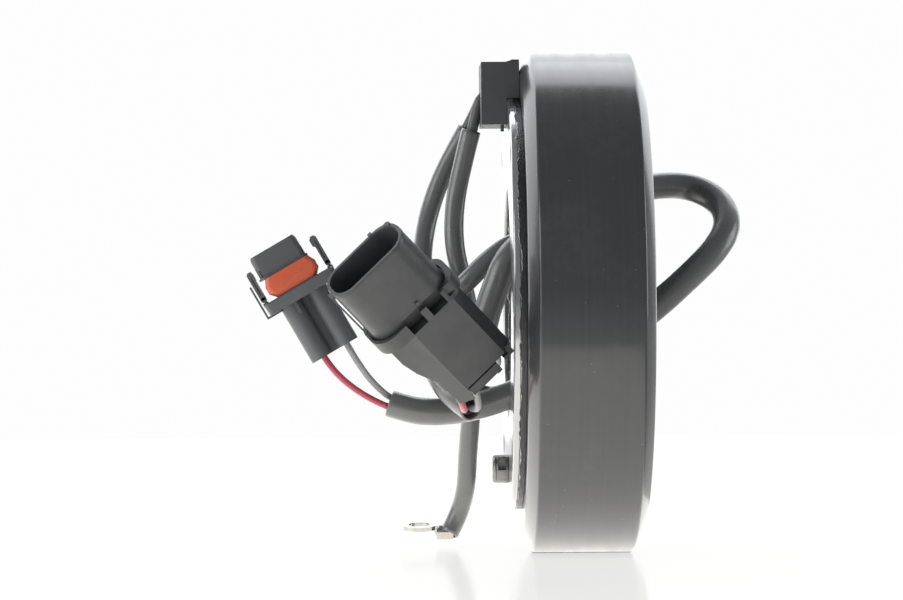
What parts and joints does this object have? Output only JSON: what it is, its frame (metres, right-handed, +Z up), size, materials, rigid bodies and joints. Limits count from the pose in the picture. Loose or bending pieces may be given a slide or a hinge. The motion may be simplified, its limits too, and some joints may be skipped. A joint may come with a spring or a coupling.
{
  "type": "electromagnetic clutch",
  "caption": "Field coil of a compressor's electromagnetic clutch: a ring magnet on a mounting plate, with a lead block, a locating pin, sleeved leads, a socket, a small plug and a ground eye.",
  "frame": {"origin": "centre of the mounting plate's bore on the plate's rear face", "axes": "+X along the coil's axis towards the pulley, +Z up towards the lead block, -Y on the side with the large socket"},
  "size_m": [0.0984, 0.1098, 0.1],
  "materials": {
    "black_paint": "gloss",
    "plate_steel": "satin",
    "weld_steel": "satin",
    "bobbin_nylon": "matte",
    "enamelled_copper": "gloss",
    "tape": "satin",
    "resin": "gloss",
    "seal_rubber": "matte",
    "block_plastic": "matte",
    "terminal_metal": "satin",
    "pin_steel": "satin",
    "tinned_terminal": "satin",
    "socket_plastic": "satin",
    "plug_plastic": "satin",
    "orange_seal": "satin",
    "black_wire": "satin",
    "sleeve_vinyl": "satin",
    "red_wire": "satin",
    "grey_wire": "satin"
  },
  "bodies": {
    "coil": {"coil_shell": "black_paint", "mounting_plate": "plate_steel", "plate_welds": "weld_steel", "bobbin": "bobbin_nylon", "winding": "enamelled_copper", "insulation_tape": "tape", "potting_resin": "resin", "lead_grommets": "seal_rubber", "coil_lead_tails": "enamelled_copper", "lead_block": "block_plastic", "block_sealant": "resin", "thermal_fuse": "terminal_metal", "lead_crimps": "terminal_metal", "locating_pin": "pin_steel", "ring_terminal": "tinned_terminal", "socket_housing": "socket_plastic", "socket_blades": "terminal_metal", "socket_wire_seals": "seal_rubber", "socket_keeper": "socket_plastic", "plug_housing": "plug_plastic", "plug_seal": "orange_seal", "plug_contacts": "terminal_metal", "plug_wire_seals": "seal_rubber", "ground_wire": "black_wire", "ground_sleeve": "sleeve_vinyl", "feed_wire": "black_wire", "feed_sleeve": "sleeve_vinyl", "feed_end_sleeve": "sleeve_vinyl", "valve_sleeve": "sleeve_vinyl", "valve_wire_red": "red_wire", "valve_wire_grey": "grey_wire", "feed_wire_red": "red_wire", "feed_wire_grey": "grey_wire", "valve_tail_wires": "grey_wire"},
    "arm_left": {"plug_arm_left": "plug_plastic"},
    "arm_right": {"plug_arm_right": "plug_plastic"},
    "retainer": {"socket_retainer": "socket_plastic"}
  },
  "joints": [
    {"name": "left_latch", "type": "hinge", "parent": "coil", "child": "arm_left", "pos_m": [-0.04788, -0.018, 0.00083], "axis": [0, -1, 0], "range_deg": [0, 6], "stiffness_Nm_per_rad": 0.05},
    {"name": "right_latch", "type": "hinge", "parent": "coil", "child": "arm_right", "pos_m": [-0.03541, -0.018, 0.00803], "axis": [0, 1, 0], "range_deg": [0, 6], "stiffness_Nm_per_rad": 0.05},
    {"name": "retainer_slide", "type": "slide", "parent": "coil", "child": "retainer", "axis": [0.5734, 0.5598, -0.5982], "range_m": [0, 0.0012]}
  ]
}
